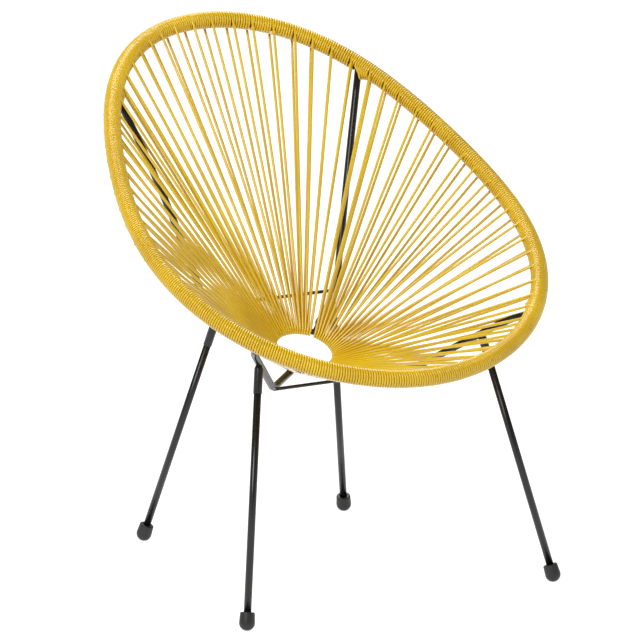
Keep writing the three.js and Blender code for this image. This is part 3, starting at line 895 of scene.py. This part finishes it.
def wound(first_outer, pitch, count, from_turn, to_turn, aside=0.0):
    """The winding between two strands. Turns are measured from the first outer edge after the last
    strand, where the turn is minus a half turn, and fall by a whole turn each time round. A strand
    that comes back aside is led to its own place before the outer edge."""
    total = from_turn - to_turn
    steps = max(LEAST_STEPS, round(WIND_STEPS * total / TURN))
    turns = from_turn - np.linspace(0, 1, steps + 1) * total
    round_count = (-math.pi - turns) / TURN
    arcs = first_outer + pitch * round_count
    order = np.floor(round_count) + 1
    share = round_count - np.floor(round_count)
    lean = (CROSS_SHIFT - TURN_PITCH / 4) * np.where(share < 0.5, np.sin(TURN * share) ** 2, 0)
    place = (np.clip(order, 1, count) - (count + 1) / 2) / (count / 2)
    lean = lean + GATHER_SHIFT * place * eased(GATHER_TOP - np.abs(share - 0.5) * GATHER_SLOPE)
    wobble = sum(reach * np.sin(arcs * ripple + phase) for reach, ripple, phase in WOBBLES)
    lift = LIFT * np.sin(arcs * LIFT_RIPPLE + LIFT_TWIST * turns) - LIFT
    if aside:
        led = eased(((-math.pi - turns) / (-math.pi - from_turn) - LED_HOME) / (1 - LED_HOME))
        lean = lean + aside * led
        lift = lift + over_neighbour(aside) * led
    return on_winding(arcs + lean + wobble, turns, TURN_RADIUS + lift)


def over_neighbour(aside):
    """How far a strand that comes back aside rides up on the turns beside its own."""
    return 2 * LAY_RADIUS * float(eased(abs(aside) / TURN_PITCH)) * RIDE_SHARE


def cord_run(run):
    """One run of three pairs as one route: winding, strand to the ring, loop, strand back. It starts
    and ends half-way between pairs, at the outer edge of a turn."""
    first = run * PAIRS_PER_RUN
    points, radii = [], []

    def lay(more, radius):
        points.extend(more)
        radii.extend([radius] * len(more))

    before = pair_places(first - 1)
    outer, count, pitch = between_strands(before[2], before[3], pair_places(first)[0])
    from_turn = -math.pi - (count // 2) * TURN
    aside = 0.0
    for i in range(PAIRS_PER_RUN):
        last_turn = pair_places(first + i)[1] - (count + 1) * TURN
        lay(wound(outer, pitch, count, from_turn, last_turn, aside), TURN_LAY_RADIUS)
        leave, top_turn, back, under_turn, aside = pair_places(first + i)
        reach = TURN_RADIUS + over_neighbour(aside)
        under = on_winding(np.array([back + aside]), np.array([under_turn]), reach)[0]
        top = points[-1]
        loop = loop_points(first + i, top, under)
        lay(strand(top, loop[0]), LAY_RADIUS)
        lay(loop, LOOP_LAY_RADIUS)
        lay(strand(loop[-1], under), LAY_RADIUS)
        outer, count, pitch = between_strands(back, under_turn, pair_places(first + i + 1)[0])
        from_turn = under_turn
    last_turn = -math.pi - (count // 2) * TURN
    lay(wound(outer, pitch, count, from_turn, last_turn, aside), TURN_LAY_RADIUS)
    return np.array(points), radii


for run in range(PAIR_COUNT // PAIRS_PER_RUN):
    piece = tube_object(f"cord_lay_{run + 1:02d}", *cord_run(run), CORD_SIDES, CORD)
    settle(piece, f"cord_run_{run + 1:02d}")


# The floor's half width in metres, its own level of white and how strongly it takes light and shadow
FLOOR_REACH = 30
FLOOR_GLOW = 0.92
FLOOR_SHADE = 0.32

# The level of the light all round, the sine of the heights between which the white sweep that shows in
# reflections fades, and the level of the ceiling above it
SKY_LEVEL = 0.46
SWEEP_TOP = (0.05, 0.45)
CEILING_LEVEL = 0.12


def floor_material():
    """Plain grey for the light that it throws back. Where it is seen it is white, with a soft shadow."""
    mat, nodes, links, shader = material("pale_floor")
    shader.inputs["Base Color"].default_value = (0.8, 0.8, 0.8, 1)
    shader.inputs["Roughness"].default_value = 0.9
    out = next(n for n in nodes if n.type == "OUTPUT_MATERIAL")
    glow = nodes.new("ShaderNodeEmission")
    glow.inputs["Strength"].default_value = FLOOR_GLOW
    shade = nodes.new("ShaderNodeBsdfDiffuse")
    shade.inputs["Color"].default_value = (FLOOR_SHADE, FLOOR_SHADE, FLOOR_SHADE, 1)
    both = nodes.new("ShaderNodeAddShader")
    links.new(glow.outputs["Emission"], both.inputs[0])
    links.new(shade.outputs["BSDF"], both.inputs[1])
    path = nodes.new("ShaderNodeLightPath")
    seen = nodes.new("ShaderNodeMath")
    seen.operation = "MAXIMUM"
    links.new(path.outputs["Is Camera Ray"], seen.inputs[0])
    links.new(path.outputs["Is Glossy Ray"], seen.inputs[1])
    mix = nodes.new("ShaderNodeMixShader")
    links.new(seen.outputs["Value"], mix.inputs["Fac"])
    links.new(shader.outputs["BSDF"], mix.inputs[1])
    links.new(both.outputs["Shader"], mix.inputs[2])
    links.new(mix.outputs["Shader"], out.inputs["Surface"])
    return mat


corners = [(x * FLOOR_REACH, y * FLOOR_REACH, 0) for x, y in ((-1, -1), (1, -1), (1, 1), (-1, 1))]
floor = mesh_object("floor", corners, [(0, 1, 2, 3)], floor_material(), smooth=False)


def studio_world():
    """White where the camera sees it, a plain level of light all round, and in reflections a white
    sweep that ends above, where the studio has a dim ceiling."""
    world = bpy.data.worlds.new("studio")
    world.use_nodes = True
    nodes, links = world.node_tree.nodes, world.node_tree.links
    nodes.clear()
    out = nodes.new("ShaderNodeOutputWorld")
    lit, seen_sky, ceiling = (nodes.new("ShaderNodeBackground") for _ in range(3))
    for sky, level in ((lit, SKY_LEVEL), (seen_sky, 1.0), (ceiling, 1.0)):
        sky.inputs["Color"].default_value = (1, 1, 1, 1)
        sky.inputs["Strength"].default_value = level
    heights = nodes.new("ShaderNodeSeparateXYZ")
    links.new(nodes.new("ShaderNodeTexCoord").outputs["Generated"], heights.inputs["Vector"])
    fade = nodes.new("ShaderNodeMapRange")
    fade.interpolation_type = "SMOOTHSTEP"
    fade.inputs["From Min"].default_value = SWEEP_TOP[0]
    fade.inputs["From Max"].default_value = SWEEP_TOP[1]
    fade.inputs["To Min"].default_value = 1.0
    fade.inputs["To Max"].default_value = CEILING_LEVEL
    links.new(heights.outputs["Z"], fade.inputs["Value"])
    links.new(fade.outputs["Result"], ceiling.inputs["Strength"])
    path = nodes.new("ShaderNodeLightPath")
    glossy_mix = nodes.new("ShaderNodeMixShader")
    links.new(path.outputs["Is Glossy Ray"], glossy_mix.inputs["Fac"])
    links.new(lit.outputs["Background"], glossy_mix.inputs[1])
    links.new(ceiling.outputs["Background"], glossy_mix.inputs[2])
    sky_mix = nodes.new("ShaderNodeMixShader")
    links.new(path.outputs["Is Camera Ray"], sky_mix.inputs["Fac"])
    links.new(glossy_mix.outputs["Shader"], sky_mix.inputs[1])
    links.new(seen_sky.outputs["Background"], sky_mix.inputs[2])
    links.new(sky_mix.outputs["Shader"], out.inputs["Surface"])
    return world


bpy.context.scene.world = studio_world()

# The place in metres at which every lamp points
LAMP_AIM = Vector((0, 0, 0.45))


def lamp(name, place, power, size):
    """A round soft lamp: its place and size in metres, and its power in watts."""
    data = bpy.data.lights.new(name, "AREA")
    data.shape = "DISK"
    data.size = size
    data.energy = power
    obj = bpy.data.objects.new(name, data)
    bpy.context.scene.collection.objects.link(obj)
    obj.location = place
    obj.rotation_euler = (LAMP_AIM - Vector(place)).to_track_quat("-Z", "Y").to_euler()


lamp("key_lamp", (-3.0, -2.0, 3.3), 124, 2.6)
lamp("fill_lamp", (2.2, -3.6, 1.9), 8, 2.0)
lamp("back_lamp", (0.8, 2.4, 3.4), 92, 2.4)

# The photo's camera, fitted to the outlines of the rim, the hole and the feet
CAMERA_PLACE = np.array([-4465.8, -7852.4, 2676.9])
CAMERA_AZIMUTH = math.radians(-29.71)
CAMERA_ELEVATION = math.radians(14.02)
CAMERA_ROLL = math.radians(0.46)
CAMERA_LENS = 308.9
CAMERA_SENSOR = 36.0
CAMERA_REACH = 100.0

ahead = -np.array([math.sin(CAMERA_AZIMUTH) * math.cos(CAMERA_ELEVATION),
                   -math.cos(CAMERA_AZIMUTH) * math.cos(CAMERA_ELEVATION),
                   math.sin(CAMERA_ELEVATION)])
right = unit(np.cross(ahead, np.array([0.0, 0.0, 1.0])))
above = np.cross(right, ahead)
c, s = math.cos(CAMERA_ROLL), math.sin(CAMERA_ROLL)
right, above = c * right + s * above, c * above - s * right
camera_data = bpy.data.cameras.new("camera")
camera_data.lens = CAMERA_LENS
camera_data.sensor_width = CAMERA_SENSOR
camera_data.clip_end = CAMERA_REACH
camera = bpy.data.objects.new("camera", camera_data)
bpy.context.scene.collection.objects.link(camera)
place = CAMERA_PLACE * MM
camera.matrix_world = Matrix((
    (right[0], above[0], -ahead[0], place[0]),
    (right[1], above[1], -ahead[1], place[1]),
    (right[2], above[2], -ahead[2], place[2]),
    (0, 0, 0, 1)))
bpy.context.scene.camera = camera
bpy.context.scene.view_settings.view_transform = "Standard"
